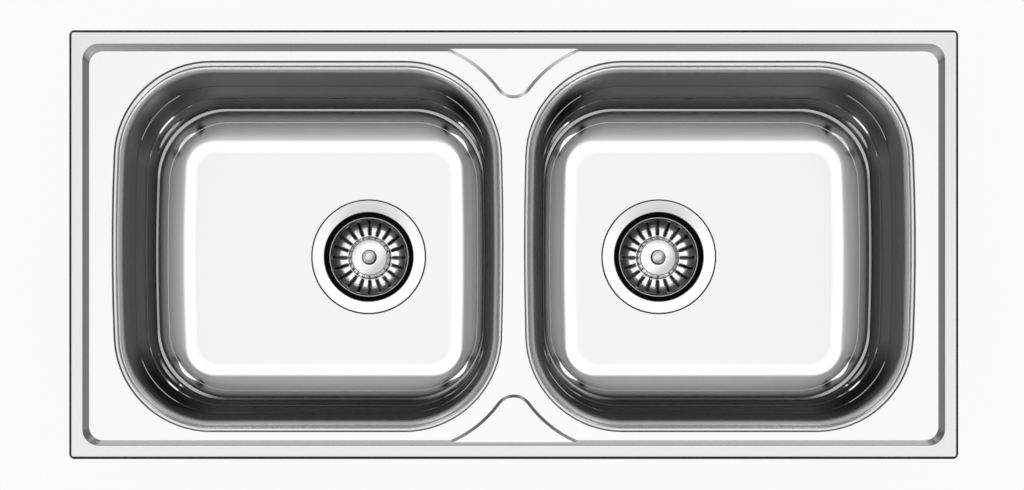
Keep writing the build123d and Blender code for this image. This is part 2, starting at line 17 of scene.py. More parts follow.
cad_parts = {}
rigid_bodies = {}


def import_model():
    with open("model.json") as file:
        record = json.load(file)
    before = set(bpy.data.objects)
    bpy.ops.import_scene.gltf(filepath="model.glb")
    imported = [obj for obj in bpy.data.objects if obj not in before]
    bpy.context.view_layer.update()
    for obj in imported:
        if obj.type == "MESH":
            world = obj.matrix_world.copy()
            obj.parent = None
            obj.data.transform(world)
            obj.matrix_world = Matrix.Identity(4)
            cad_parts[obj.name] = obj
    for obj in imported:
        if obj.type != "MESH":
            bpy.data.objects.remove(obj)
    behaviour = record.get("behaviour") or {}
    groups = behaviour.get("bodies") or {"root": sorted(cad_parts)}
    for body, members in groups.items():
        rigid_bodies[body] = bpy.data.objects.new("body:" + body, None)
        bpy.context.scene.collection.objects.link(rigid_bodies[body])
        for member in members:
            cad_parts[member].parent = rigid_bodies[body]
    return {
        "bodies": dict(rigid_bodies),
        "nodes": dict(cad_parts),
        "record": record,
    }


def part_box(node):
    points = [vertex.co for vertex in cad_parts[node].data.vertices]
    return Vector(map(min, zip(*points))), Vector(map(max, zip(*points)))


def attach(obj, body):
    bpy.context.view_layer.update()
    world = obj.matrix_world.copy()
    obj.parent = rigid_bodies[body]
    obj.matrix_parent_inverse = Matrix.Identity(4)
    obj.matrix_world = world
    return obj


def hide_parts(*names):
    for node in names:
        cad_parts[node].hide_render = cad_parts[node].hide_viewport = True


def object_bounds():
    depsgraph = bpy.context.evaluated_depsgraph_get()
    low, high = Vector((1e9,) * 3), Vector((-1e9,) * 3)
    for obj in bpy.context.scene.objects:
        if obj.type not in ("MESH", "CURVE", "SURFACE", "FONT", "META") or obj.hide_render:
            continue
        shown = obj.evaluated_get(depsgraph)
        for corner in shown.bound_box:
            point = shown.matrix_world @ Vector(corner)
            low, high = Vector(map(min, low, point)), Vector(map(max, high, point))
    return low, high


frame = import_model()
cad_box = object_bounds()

print("nodes:", len(frame["nodes"]), "box:", [tuple(round(v, 4) for v in p) for p in cad_box])

# %% [markdown]
# ## Camera
# The photograph looks straight down on the sink with no keystone, and shows more of the bowls'
# back walls than of their front ones. So the camera stands above the front part of the sink and
# looks down, and its shift brings the whole sink back into the frame.

# %% Camera above the front part of the sink
CAMERA_PLACE = (0, -0.129, 1.844)
SENSOR, LENS = 36, 66.94
SHIFT = (-0.0017, 0.1299)

camera = bpy.data.objects.new("camera", bpy.data.cameras.new("camera"))
bpy.context.scene.collection.objects.link(camera)
bpy.context.scene.camera = camera
camera.location = CAMERA_PLACE
camera.data.sensor_width = SENSOR
camera.data.lens = LENS
camera.data.shift_x, camera.data.shift_y = SHIFT
print("camera at", tuple(camera.location))

# %% [markdown]
# ## Tools for the pieces
# A profile is a short list of corner points, each with the radius it is rounded to. A bowl is
# that profile carried round a plan with bowed ends, ring after ring, and a waste is one spun
# about the drain's axis.

# %% Profiles, pieces and sheets
MM = 0.001
SIDES = ((-1, "left"), (1, "right"))


def rounded(corners, steps=8):
    """Points of a profile (across, up, station); each corner is (across, up, radius).

    The station counts corners: a sharp corner is a whole number, and a rounded one runs
    from 0.3 before its number to 0.3 after it.
    """
    points = [Vector((*corners[0][:2], 0))]
    for number, (before, here, after) in enumerate(zip(corners, corners[1:], corners[2:]), 1):
        p, q, r = Vector(before[:2]), Vector(here[:2]), Vector(after[:2])
        if here[2] == 0:
            points.append(Vector((*q, number)))
            continue
        a, b = (p - q).normalized(), (r - q).normalized()
        half = a.angle(b) / 2
        centre = q + (a + b).normalized() * here[2] / sin(half)
        reach = here[2] / tan(half)
        start, end = q + a * reach - centre, q + b * reach - centre
        turn = start.angle_signed(end)
        for i in range(steps + 1):
            angle = -turn * i / steps
            points.append(Vector((
                centre.x + start.x * cos(angle) - start.y * sin(angle),
                centre.y + start.x * sin(angle) + start.y * cos(angle),
                number - 0.3 + 0.6 * i / steps,
            )))
    return points + [Vector((*corners[-1][:2], len(corners) - 1))]


def piece(name, bm, body, material, replaces=(), crease=35):
    """Mesh object from a bmesh, on a body, in place of the CAD nodes named."""
    bmesh.ops.recalc_face_normals(bm, faces=bm.faces)
    mesh = bpy.data.meshes.new(name)
    bm.to_mesh(mesh)
    bm.free()
    made = bpy.data.objects.new(name, mesh)
    bpy.context.scene.collection.objects.link(made)
    mesh.shade_smooth()
    mesh.set_sharp_from_angle(angle=radians(crease))
    mesh.materials.append(material)
    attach(made, body)
    if replaces:
        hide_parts(*replaces)
    return made


def edges_of(verts):
    """Edges at the vertices, each once, in the vertices' order."""
    return list(dict.fromkeys(e for v in verts for e in v.link_edges))


def thicken(made, thickness, back=0, rim=0):
    """Give a sheet its thickness, away from its normals; back and rim may use later slots."""
    wall = made.modifiers.new("sheet", "SOLIDIFY")
    wall.thickness = thickness * MM
    wall.offset = -1
    wall.use_even_offset = True
    wall.material_offset = back
    wall.material_offset_rim = rim


def level_flats(made):
    """Shade flat bands flat right up to the small radii beside them."""
    flat = made.modifiers.new("flats", "WEIGHTED_NORMAL")
    flat.keep_sharp = True
    flat.weight = 100


print("tools ready")

# %% [markdown]
# ## Metals and mouldings
# Every finish is a node material that reads object coordinates or the piece's own attributes, so
# it stays where it is on its piece. One helper makes them all: noise, stretched along the grain,
# varies colour and roughness a little and lifts the surface by a few microns. A `tone` can
# darken the colour along the surface. Real steel has one tone and takes the rest from its
# surroundings; here those are a plain studio, so the tones of deck, bowls, wastes and baskets
# are painted shade and painted highlights, fitted to what the photograph shows from above.

# %% A helper for nodes and one for finishes
def add(tree, kind, links=(), **settings):
    """New node with its settings made and its inputs linked or set."""
    made = tree.nodes.new(kind)
    for name, value in settings.items():
        setattr(made, name, value)
    for name, value in dict(links).items():
        if isinstance(value, bpy.types.NodeSocket):
            tree.links.new(value, made.inputs[name])
        else:
            made.inputs[name].default_value = value
    return made


def grey(value):
    return (value, value, value, 1)


def ramp(tree, source, stops):
    """Grey tone read from a colour ramp at a source socket."""
    made = add(tree, "ShaderNodeValToRGB", {"Fac": source})
    elements = made.color_ramp.elements
    for position, tone in stops[1:-1]:
        elements.new(position).color = grey(tone)
    for element, (position, tone) in zip(elements, stops):
        element.position = position
        element.color = grey(tone)
    return made.outputs["Color"]


def finish(
    name,
    colour,
    roughness,
    metallic=1.0,
    grain=(400, 400, 400),
    mottle=0.04,
    play=0.05,
    lift=0.000004,
    tone=None,
):
    """Material with grain; tone, and roughness too, may be functions that give a grey socket."""
    made = bpy.data.materials.new(name)
    made.use_nodes = True
    tree = made.node_tree
    shader = tree.nodes["Principled BSDF"]
    shader.inputs["Metallic"].default_value = metallic
    where = add(tree, "ShaderNodeTexCoord").outputs["Object"]
    place = add(tree, "ShaderNodeMapping", {"Vector": where, "Scale": grain})
    noise = add(tree, "ShaderNodeTexNoise", {"Vector": place.outputs[0], "Scale": 1, "Detail": 4})
    fac = noise.outputs["Fac"]
    low = [c * (1 - mottle) for c in colour] + [1]
    high = [min(1, c * (1 + mottle)) for c in colour] + [1]
    mix = add(tree, "ShaderNodeMix", data_type="RGBA")
    for socket, value in ((mix.inputs[6], low), (mix.inputs[7], high)):
        socket.default_value = value
    tree.links.new(fac, mix.inputs[0])
    base = mix.outputs[2]
    if tone:
        darker = add(tree, "ShaderNodeMix", data_type="RGBA", blend_type="MULTIPLY")
        darker.inputs[0].default_value = 1
        tree.links.new(base, darker.inputs[6])
        tree.links.new(tone(tree), darker.inputs[7])
        base = darker.outputs[2]
    tree.links.new(base, shader.inputs["Base Color"])
    level = roughness(tree) if callable(roughness) else roughness
    spread = add(tree, "ShaderNodeMapRange", {"Value": fac, "To Min": -play, "To Max": play})
    rough = add(tree, "ShaderNodeMath", {0: spread.outputs[0], 1: level})
    tree.links.new(rough.outputs[0], shader.inputs["Roughness"])
    bump = add(tree, "ShaderNodeBump", {"Height": fac, "Distance": lift})
    tree.links.new(bump.outputs[0], shader.inputs["Normal"])
    return made


def by_slope(stops):
    """Painted shade by how level the surface is: 1 is level, 0 upright."""

    def tone(tree):
        normal = add(tree, "ShaderNodeNewGeometry").outputs["Normal"]
        return ramp(tree, add(tree, "ShaderNodeSeparateXYZ", {"Vector": normal}).outputs["Z"], stops)

    return tone


def by_span(measure, stops):
    """Tone by a length in millimetres that a function of the tree measures."""
    low, high = stops[0][0], stops[-1][0]

    def tone(tree):
        span = {"Value": measure(tree), "From Min": low * MM, "From Max": high * MM}
        share = add(tree, "ShaderNodeMapRange", span).outputs[0]
        return ramp(tree, share, [((at - low) / (high - low), value) for at, value in stops])

    return tone


def height(tree):
    """Height above the worktop."""
    where = add(tree, "ShaderNodeTexCoord").outputs["Object"]
    return add(tree, "ShaderNodeSeparateXYZ", {"Vector": where}).outputs["Z"]


def by_station(stops):
    """Tone read along a profile; the stops are stations."""
    last = stops[-1][0]

    def tone(tree):
        along = add(tree, "ShaderNodeAttribute", attribute_name="station").outputs["Fac"]
        share = add(tree, "ShaderNodeMath", {0: along, 1: last}, operation="DIVIDE").outputs[0]
        return ramp(tree, share, [(at / last, value) for at, value in stops])

    return tone


def with_painted_light(stops):
    """Painted shade along a profile, darkened further by the painted shade in the shade attribute;
    where glint is set, its painted highlight is the tone.
    """

    def tone(tree):
        shaded = blended("MULTIPLY", by_station(stops), own("shade"))
        return blended("LIGHTEN", shaded, own("painted_glint"))(tree)

    return tone


def own(attribute):
    """Tone kept in an attribute of the piece itself."""
    return lambda tree: add(tree, "ShaderNodeAttribute", attribute_name=attribute).outputs["Fac"]


def by_own(attribute, stops):
    """Tone read from a ramp over an attribute of the piece."""
    return lambda tree: ramp(tree, own(attribute)(tree), stops)


def from_edge(tree):
    """Distance in from the nearest side of the sink."""
    where = add(tree, "ShaderNodeTexCoord").outputs["Object"]
    folded = add(tree, "ShaderNodeVectorMath", {0: where}, operation="ABSOLUTE")
    half = (HALF_LENGTH * MM, HALF_WIDTH * MM, 1)
    inward = {0: half, 1: folded.outputs[0]}
    inward = add(tree, "ShaderNodeVectorMath", inward, operation="SUBTRACT")
    sides = add(tree, "ShaderNodeSeparateXYZ", {"Vector": inward.outputs[0]}).outputs
    return add(tree, "ShaderNodeMath", {0: sides["X"], 1: sides["Y"]}, operation="MINIMUM").outputs[0]


def by_facing(way, stops):
    """Painted shade by how far the surface turns toward a way; the stops run from -1 to 1."""

    def tone(tree):
        normal = add(tree, "ShaderNodeNewGeometry").outputs["Normal"]
        turned = {0: normal, 1: tuple(Vector(way).normalized())}
        turned = add(tree, "ShaderNodeVectorMath", turned, operation="DOT_PRODUCT").outputs["Value"]
        share = add(tree, "ShaderNodeMapRange", {"Value": turned, "From Min": -1}).outputs[0]
        return ramp(tree, share, [((at + 1) / 2, value) for at, value in stops])

    return tone


def blended(kind, *tones):
    """Tones combined: MULTIPLY darkens by each, LIGHTEN keeps the lightest."""

    def tone(tree):
        colour = tones[0](tree)
        for other in tones[1:]:
            mixed = add(tree, "ShaderNodeMix", data_type="RGBA", blend_type=kind)
            mixed.inputs[0].default_value = 1
            tree.links.new(colour, mixed.inputs[6])
            tree.links.new(other(tree), mixed.inputs[7])
            colour = mixed.outputs[2]
        return colour

    return tone


print("helpers ready")

# %% The finishes of the sink
HALF_LENGTH, HALF_WIDTH = 430, 207.5
BOWL_LENGTH, BOWL_WIDTH, BOWL_X, BOWL_Y = 379.3, 359.3, 199.5, -1.7
DRAIN_X, FLOOR_Z = 152.35, -156.0
POLISH = (0.8, 0.8, 0.795)
FINE = {"mottle": 0.01, "play": 0.02, "lift": 0.000001}
EVEN = (900, 900, 900)

# painted shade: the tone darkens the deck's outer rolled edge to a dark outline, leaving its upright
# skirt mid grey, and darkens the step and the platforms' sloped edges; the parts more than 3.2 mm up
# are a little darker
deck_steel = finish(
    "deck_steel", (0.76, 0.76, 0.757), 0.24, grain=(30, 1500, 1500), **FINE,
    tone=blended(
        "MULTIPLY",
        blended(
            "LIGHTEN",
            by_span(from_edge, [(0.0, 0.03), (2.0, 0.04), (2.6, 0.3), (3.1, 1.0), (20.0, 1.0)]),
            by_slope([(0.0, 0.6), (0.3, 0.5), (0.5, 0.0), (1.0, 0.0)]),
        ),
        by_slope([(0.0, 1.0), (0.9, 0.9), (0.915, 0.42), (0.96, 0.42), (0.975, 1.0), (1.0, 1.0)]),
        by_span(height, [(3.2, 1.0), (4.4, 0.87), (6.0, 0.87)]),
    ),
)
# painted shade: the tone darkens the drop at the mouth's edge, the band and its groove, the shoulder
# and the walls, with a dark line where the cove meets the floor and a slightly darker seat; the marks
# add painted highlights and painted shade on top
bowl_steel = finish(
    "bowl_steel", (0.86, 0.86, 0.857),
    blended(
        "MULTIPLY",
        by_station([
            (0.0, 0.24), (6.7, 0.26), (6.85, 0.45), (7.2, 0.45), (7.3, 0.26), (7.66, 0.26),
            (7.74, 0.3), (7.85, 0.6), (8.1, 0.6), (8.2, 0.4), (8.23, 0.2), (12.0, 0.25),
        ]),
        by_own("painted_glint", [(0.0, 1.0), (0.3, 0.4), (1.0, 0.3)]),
    ),
    grain=(700, 700, 90), **FINE,
    tone=with_painted_light([
        (0.0, 0.9), (0.9, 0.9), (1.0, 0.2), (2.4, 0.2), (3.0, 0.74), (4.2, 0.72), (4.5, 0.35),
        (5.6, 0.35), (6.0, 0.9), (6.8, 0.8), (7.0, 0.5), (7.15, 0.55), (7.3, 0.46), (7.4, 0.44),
        (7.5, 0.54), (7.62, 0.55), (7.7, 0.58), (7.76, 0.6), (7.85, 0.85), (7.95, 1.0), (8.1, 1.0),
        (8.19, 0.7), (8.228, 0.5), (8.234, 1.0), (8.45, 1.0), (8.56, 0.84), (12.0, 0.84),
    ]),
)
# painted shade: darkens steel that is seen at a low angle, as the steep walls are from above
bowl_steel.node_tree.nodes["Principled BSDF"].inputs["Specular Tint"].default_value = grey(0.12)
raw_steel = finish("raw_steel", (0.55, 0.55, 0.56), 0.45, grain=(300, 300, 300), mottle=0.1)
# painted shade: the tone darkens the turned-down edge to a dark outline, the throat and the cup, and
# the back half of the dish, whose surface turns to the front
flange_steel = finish(
    "flange_steel", POLISH, 0.2, grain=EVEN, **FINE,
    tone=blended(
        "MULTIPLY",
        by_station([
            (0.0, 0.1), (1.0, 0.1), (1.3, 1.0), (1.75, 1.0), (2.0, 0.3), (2.3, 0.04), (9.0, 0.03),
        ]),
        by_facing((0, -1, 0), [(-1, 1.0), (0.0, 1.0), (0.016, 1.0), (0.04, 0.62), (1, 0.5)]),
    ),
)
# painted shade: the tone darkens the plateau's rim and side, the slope down to the floor, the wall
# and the rolled rim's outer side, and the sides turned to the front right
basket_steel = finish(
    "basket_steel", POLISH,
    by_station([(0.0, 0.2), (7.8, 0.2), (8.1, 0.42), (9.2, 0.42), (10.0, 0.25), (15.0, 0.25)]),
    grain=EVEN, **FINE,
    tone=blended(
        "MULTIPLY",
        by_station([
            (0.0, 1.0), (2.7, 1.0), (3.0, 0.5), (3.7, 0.25), (4.7, 0.25), (5.2, 0.8), (5.7, 0.85),
            (6.0, 0.6), (6.3, 0.2), (6.8, 0.15), (7.2, 1.0), (8.1, 1.0), (9.5, 1.0), (10.3, 0.1),
            (11.6, 0.15), (11.85, 1.0), (12.4, 1.0), (12.7, 0.15), (15.0, 0.1),
        ]),
        by_facing((0.7, -0.7, 0), [(-1, 1.0), (0.0, 1.0), (0.04, 0.9), (0.12, 0.6), (1, 0.6)]),
    ),
)
# painted shade: the slots' cut sides are near black, so the slots read dark
slot_painted_shade = finish("slot_painted_shade", (0.04, 0.04, 0.04), 0.5, grain=EVEN)
# painted shade: the tone darkens the dome's steep edge and its side turned to the front right
knob_chrome = finish(
    "knob_chrome", POLISH, 0.38, grain=EVEN, **FINE,
    tone=blended(
        "MULTIPLY",
        by_slope([(0.0, 0.1), (0.4, 0.2), (0.6, 0.9), (1.0, 1.0)]),
        by_facing((0.5, -0.85, 0), [(-1, 1.0), (-0.04, 1.0), (0.04, 0.75), (0.14, 0.4), (1, 0.3)]),
    ),
)
black_rubber = finish(
    "black_rubber", (0.004, 0.004, 0.004), 0.8, metallic=0, grain=(1500, 1500, 1500),
    mottle=0.2, play=0.08, lift=0.00002,
)
black_rubber.node_tree.nodes["Principled BSDF"].inputs["Specular IOR Level"].default_value = 0.1
seal_foam = finish(
    "seal_foam", (0.05, 0.05, 0.05), 0.85, metallic=0, grain=(2500, 2500, 2500),
    mottle=0.4, play=0.05, lift=0.00012,
)
pad_bitumen = finish(
    "pad_bitumen", (0.03, 0.03, 0.03), 0.8, metallic=0, grain=(800, 800, 800),
    mottle=0.3, play=0.08, lift=0.0001,
)
white_plastic = finish(
    "white_plastic", (0.8, 0.8, 0.78), 0.35, metallic=0, grain=(700, 700, 700),
    mottle=0.02, play=0.04, lift=0.00001,
)
brass = finish("brass", (0.74, 0.58, 0.28), 0.28, grain=(900, 900, 60))
screw_steel = finish("screw_steel", (0.62, 0.62, 0.6), 0.3, grain=EVEN, mottle=0.08)
galvanised_steel = finish(
    "galvanised_steel", (0.52, 0.53, 0.54), 0.42, grain=(160, 160, 160), mottle=0.18, play=0.12
)
print(len(bpy.data.materials), "materials")

# %% [markdown]
# ## CAD pieces that stay
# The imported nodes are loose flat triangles. A Weld joins them, a small node group shades them
# smooth except across edges of more than 30 degrees, or 14 on the deck with its shallow step,
# and Weighted Normal keeps large flats flat next to their bends. The mesh itself isn't touched.

# %% Shade the nodes smooth and give them their finishes
def smooth_group(angle):
    """Geometry node group: smooth faces, sharp edges above an angle."""
    group = bpy.data.node_groups.new("smooth_by_angle", "GeometryNodeTree")
    for way in ("INPUT", "OUTPUT"):
        group.interface.new_socket("Geometry", in_out=way, socket_type="NodeSocketGeometry")
    start = group.nodes.new("NodeGroupInput").outputs[0]
    faces = add(group, "GeometryNodeSetShadeSmooth", {"Geometry": start, "Shade Smooth": True})
    bend = add(group, "GeometryNodeInputMeshEdgeAngle").outputs["Unsigned Angle"]
    sharp = add(group, "FunctionNodeCompare", operation="GREATER_THAN")
    group.links.new(bend, sharp.inputs[0])
    sharp.inputs[1].default_value = angle
    edges = add(group, "GeometryNodeSetShadeSmooth", domain="EDGE")
    group.links.new(faces.outputs[0], edges.inputs[0])
    group.links.new(sharp.outputs[0], edges.inputs["Selection"])
    edges.inputs["Shade Smooth"].default_value = False
    group.links.new(edges.outputs[0], group.nodes.new("NodeGroupOutput").inputs[0])
    return group


deck_edges = smooth_group(radians(14))
other_edges = smooth_group(radians(30))
finishes = {
    "deck_steel": deck_steel,
    "bowl_steel": raw_steel,
    "polished_steel": flange_steel,
    "knob_chrome": knob_chrome,
    "black_rubber": black_rubber,
    "seal_foam": seal_foam,
    "pad_bitumen": pad_bitumen,
    "white_plastic": white_plastic,
    "brass": brass,
    "screw_steel": screw_steel,
    "galvanised_steel": galvanised_steel,
}
for part in frame["record"]["subparts"]:
    cad = frame["nodes"][part["node"]]
    cad.data.materials.clear()
    cad.data.materials.append(finishes[part["material_slot"]])
    weld = cad.modifiers.new("weld", "WELD")
    weld.merge_threshold = 0.000001
    shade = cad.modifiers.new("smooth", "NODES")
    shade.node_group = deck_edges if part["node"] == "sink_top" else other_edges
    level_flats(cad)
print("finished", len(frame["nodes"]), "nodes")

# %% [markdown]
# ## Drawn bowls
# A real bowl is one sheet, drawn so that its wall leans in, rolls over at the mouth and sweeps
# into the floor through a wide cove. Its plan is a rectangle with large corners and gently bowed
# ends. A circle of vertices is placed on that plan at the flange and extruded down the profile,
# ring after ring, to the hole for the waste. The lean differs between the ends and the long
# walls, so each ring blends their profiles round its corners. Solidify gives the sheet.
#
# The photograph shows streaks round the walls and a bright spot in each lower corner. They may
# be plain reflections. Here they are small ledges: above a mark the wall stands back a little,
# so the nearly level ledge catches the bright sky. The ledges' colour is a painted highlight,
# kept in the `painted_glint` attribute and white at the lowest ledge's corners, and `shade` is
# painted shade that darkens the wall beside the bright spots.

# %% Plan of a bowl at one level
TURN, RUN = 40, 16              # steps round a corner, and along half a side
BOWL_CORNER = 94.5
OUTER_BOW, DIVIDER_BOW = 2000, 3000         # radii of the bowed ends


def plan(inset_x, inset_y, corner, side):
    """Points round a bowl's plan, inset at its ends and at its long walls."""
    half_x, half_y = BOWL_LENGTH / 2 - inset_x, BOWL_WIDTH / 2 - inset_y
    across = half_y - corner
    quarters = []
    for bow in (OUTER_BOW, DIVIDER_BOW):
        along = half_x - bow + sqrt((bow - corner) ** 2 - across**2)
        tilt = asin(across / (bow - corner))
        arc = [
            (half_x - bow + bow * cos(tilt * i / RUN), bow * sin(tilt * i / RUN))
            for i in range(RUN)
        ]
        for i in range(TURN):
            angle = tilt + (pi / 2 - tilt) * i / TURN
            arc.append((along + corner * cos(angle), across + corner * sin(angle)))
        arc += [(along * (1 - i / RUN), half_y) for i in range(RUN + 1)]
        quarters.append(arc)
    right, left = quarters if side > 0 else quarters[::-1]
    points = right[:-1] + [(-x, y) for x, y in reversed(left)][:-1]
    points += [(-x, -y) for x, y in left][:-1] + [(x, -y) for x, y in reversed(right)][:-1]
    return points


def all_round(quarter):
    """A quarter's values from the middle of an end to the middle of a wall, carried all round."""
    half = quarter[:-1] + quarter[:0:-1]
    return half + half


TURNED = all_round([0.0] * RUN + [i / TURN for i in range(TURN)] + [1.0] * (RUN + 1))
END_SHARE = [cos(pi / 2 * turn) ** 2 for turn in TURNED]
print(len(plan(0, 0, BOWL_CORNER, 1)), "points round a bowl,", len(END_SHARE), "shares")


# %% Carry the profile round the plan
UNDER_DECK = 1.2                # the deck's underside, where a bowl's lap lies
FLANGE_LAP = 4.0
BAND_FALL = tan(radians(15.6))  # slope of the band round the mouth
SHOULDER_INSET, SHOULDER_RADIUS = 10.18, 7.0
END_WALL = (5.15, 5.3, 26)      # lean in degrees, band's width and cove's radius
BACK_WALL = (9.75, 6.2, 32)
FRONT_WALL = (9.75, 6.2, 27)
FLOOR_RUN = 45                  # floor that a profile shows before the waste's seat
SEAT_RINGS = ((60.4, -156, 10), (59.8, -159.5, 11), (48.8, -159.5, 12))   # radius, z, station
WALL_INSET, WALL_CORNER = 10.2, 84.3        # where the wall starts, and a corner's radius there
DOWN_WALL, NEAR_FLOOR, IN_COVE = 14, 90, 34     # what that radius loses further down
LOW_PART = 0.85                 # share of the depth from which NEAR_FLOOR counts
COVE_START, COVE_RUN = 7.95, 0.35           # stations over which IN_COVE counts


def band_level(inset):
    """Height of the band round the mouth at an inset."""
    return UNDER_DECK - inset * BAND_FALL


def bowl_profile(draft, band, cove):
    """Rings from the flange to the floor, for a wall's lean, its band's width and its cove."""
    fall = SHOULDER_INSET * BAND_FALL
    foot = SHOULDER_INSET + (UNDER_DECK - fall - FLOOR_Z) * tan(radians(draft))
    seam = band - 0.4
    return rounded([
        (-FLANGE_LAP, 1.18, 0), (0.0, 1.18, 0), (0.8, 0.3, 0), (2.0, band_level(2.0), 0),
        (seam - 0.4, band_level(seam - 0.4), 0), (seam, band_level(seam) - 0.3, 0),
        (band, band_level(band), 0), (band + 4.9, band_level(band + 4.9), SHOULDER_RADIUS),
        (foot, FLOOR_Z, cove), (foot + FLOOR_RUN, FLOOR_Z, 0),
    ], steps=12)


# run: stations above the mark over which the wall stands back. along, corner: how far it does
# along the walls and at a corner. middle, half: where on the corner's turn, from 0 to 1.
# bright: the ledge's colour, a painted highlight.
Mark = namedtuple("Mark", "station run along corner middle half bright")
WALL_MARKS = (
    Mark(7.418, 0.06, 0.2, 0.7, 0.45, 0.4, 0.5),
    Mark(7.545, 0.06, 0.5, 1.4, 0.42, 0.3, 0.45),
    Mark(7.615, 0.05, 0.3, 2.4, 0.4, 0.22, 0.35),
    Mark(7.678, 0.05, 1.9, 3.0, 0.5, 0.5, 0.4),
    Mark(7.945, 0.2, 0.45, 3.2, 0.48, 0.135, 0.5),
)
MARK_GAP = 0.002                # stations from a ledge's top to its foot
# painted shade spots in each corner: where round the turn and down the profile, how far they reach
# and how dark
Spot = namedtuple("Spot", "turn station half_turn half_station depth")
PAINTED_SHADE_SPOTS = (
    Spot(0.68, 7.93, 0.06, 0.15, 0.98),
    Spot(0.295, 7.93, 0.06, 0.15, 0.6),
    Spot(0.5, 7.46, 0.45, 0.21, 0.6),
)


def wall_point(profile, station):
    """Point of a profile at a station."""
    for before, after in zip(profile, profile[1:]):
        if before.z <= station <= after.z:
            return before.lerp(after, (station - before.z) / (after.z - before.z))
    return profile[-1]


def marked(profile):
    """The profile with points added where a mark starts and ends."""
    points = list(profile)
    for mark in WALL_MARKS:
        for step in (-mark.run, -MARK_GAP, 0, MARK_GAP, 2 * MARK_GAP):
            points.append(wall_point(profile, mark.station + step))
    return sorted(points, key=lambda point: point.z)


def set_back(station, turn):
    """How far the wall stands back above its marks; the turn runs from 0 to 1 round a corner."""
    total = 0.0
    for mark in WALL_MARKS:
        if mark.station - mark.run < station < mark.station + MARK_GAP / 2:
            bulge = max(0.0, 1 - ((turn - mark.middle) / mark.half) ** 2)
            reach = (station - mark.station + mark.run) / (mark.run - MARK_GAP)
            total += (mark.along + (mark.corner - mark.along) * bulge) * min(1, reach)
    return total


def painted_glint_at(station, turn):
    """Painted highlight on the wall's marks: how bright their colour is, white at the lowest one's
    corners.
    """
    for mark in WALL_MARKS:
        if mark.station - MARK_GAP / 2 < station < mark.station + MARK_GAP * 1.5:
            white = mark is WALL_MARKS[-1] and abs(turn - mark.middle) < mark.half
            return 1.0 if white else mark.bright
    return 0.0


def painted_shade_at(station, turn):
    """Painted shade: dark spots in the cove beside each corner's glint, and a wide one on its wall.
    """
    dark = 1.0
    for spot in PAINTED_SHADE_SPOTS:
        across = (turn - spot.turn) / spot.half_turn
        away = hypot(across, (station - spot.station) / spot.half_station)
        dark *= 1 - spot.depth * max(0.0, 1 - away**2)
    return dark


def corner_radius(inset, level, station):
    """Plan radius of a ring's corners: it shrinks down the wall and fast in the cove."""
    if inset <= WALL_INSET:
        return BOWL_CORNER - inset
    depth = max(0.0, level / FLOOR_Z)
    low = max(0, depth - LOW_PART)
    cove_turn = min(1, max(0, (station - COVE_START) / COVE_RUN))
    return WALL_CORNER - DOWN_WALL * depth - NEAR_FLOOR * low - IN_COVE * cove_turn


def carried(bm, first, placed):
    """Extrude a ring once for each further list of points."""
    ring = bm.verts.layers.int["ring"]
    level = bm.verts.layers.float["station"]
    painted_glint = bm.verts.layers.float["painted_glint"]
    shade = bm.verts.layers.float["shade"]
    verts = first
    edges = edges_of(verts)
    for number, (station, points) in enumerate(placed):
        if number:
            grown = bmesh.ops.extrude_edge_only(bm, edges=edges)["geom"]
            verts = [g for g in grown if isinstance(g, bmesh.types.BMVert)]
            edges = [g for g in grown if isinstance(g, bmesh.types.BMEdge)]
        for v in verts:
            v.co = points[v[ring]]
            v[level] = station
            # painted highlight on the ledges, and painted shade beside them where there is none
            v[painted_glint] = painted_glint_at(station, TURNED[v[ring]])
            v[shade] = 0.0 if v[painted_glint] else painted_shade_at(station, TURNED[v[ring]])
    return verts


def make_bowl(side, name):
    walls = [marked(bowl_profile(*wall)) for wall in (END_WALL, BACK_WALL, FRONT_WALL)]
    placed = []
    for a, back, front in zip(*walls):
        corner = corner_radius(a.x, a.y, a.z)
        behind = [Vector(point) for point in plan(a.x, back.x, corner, side)]
        before = [Vector(point) for point in plan(a.x, front.x, corner, side)]
        outline = [p if p.y > 0 else q for p, q in zip(behind, before)]
        points = []
        for i, (here, end) in enumerate(zip(outline, END_SHARE)):
            along = (outline[(i + 1) % len(outline)] - outline[i - 1]).normalized()
            x, y = here + Vector((along.y, -along.x)) * set_back(a.z, TURNED[i])
            z = end * a.y + (1 - end) * (back.y if here.y > 0 else front.y)
            points.append(Vector((side * BOWL_X + x, BOWL_Y + y, z)) * MM)
        placed.append((a.z, points))
    centre = Vector((side * DRAIN_X, BOWL_Y)) * MM
    rim = placed[-1][1]
    for radius, z, station in SEAT_RINGS:
        points = []
        for p in rim:
            out = (p.xy - centre).normalized() * radius * MM
            points.append(Vector((centre.x + out.x, centre.y + out.y, z * MM)))
        placed.append((station, points))
    bm = bmesh.new()
    ring = bm.verts.layers.int.new("ring")
    bm.verts.layers.float.new("station")
    bm.verts.layers.float.new("painted_glint")
    bm.verts.layers.float.new("shade")
    first = bmesh.ops.create_circle(bm, segments=len(END_SHARE), radius=0.1)["verts"]
    for i, v in enumerate(first):
        v[ring] = i
    carried(bm, first, placed)
    made = piece(name, bm, "root", bowl_steel, [f"bowl_{'left' if side < 0 else 'right'}"])
    made.data.materials.append(raw_steel)
    thicken(made, 0.8, back=1)
    return made


for side, side_name in SIDES:
    bowl = make_bowl(side, f"drawn_bowl_{side_name}")
    print(bowl.name, len(bowl.data.vertices), "vertices")

# %% [markdown]
# ## Wastes
# A waste is pressed and polished: the flange is a shallow dish with a thin turned-down edge, a
# throat, the cone that the basket's seal closes on and a perforated cup below. One profile is
# spun about the drain's axis, and the cup's floor is filled between its edge, the six holes and
# the hole for the screw.

# %% Spin a profile about a drain
CUP_FLOOR = -26
CUP_HOLES, CUP_HOLE_RING, CUP_HOLE = 6, 25, 8.5
SCREW_HOLE = 3.05
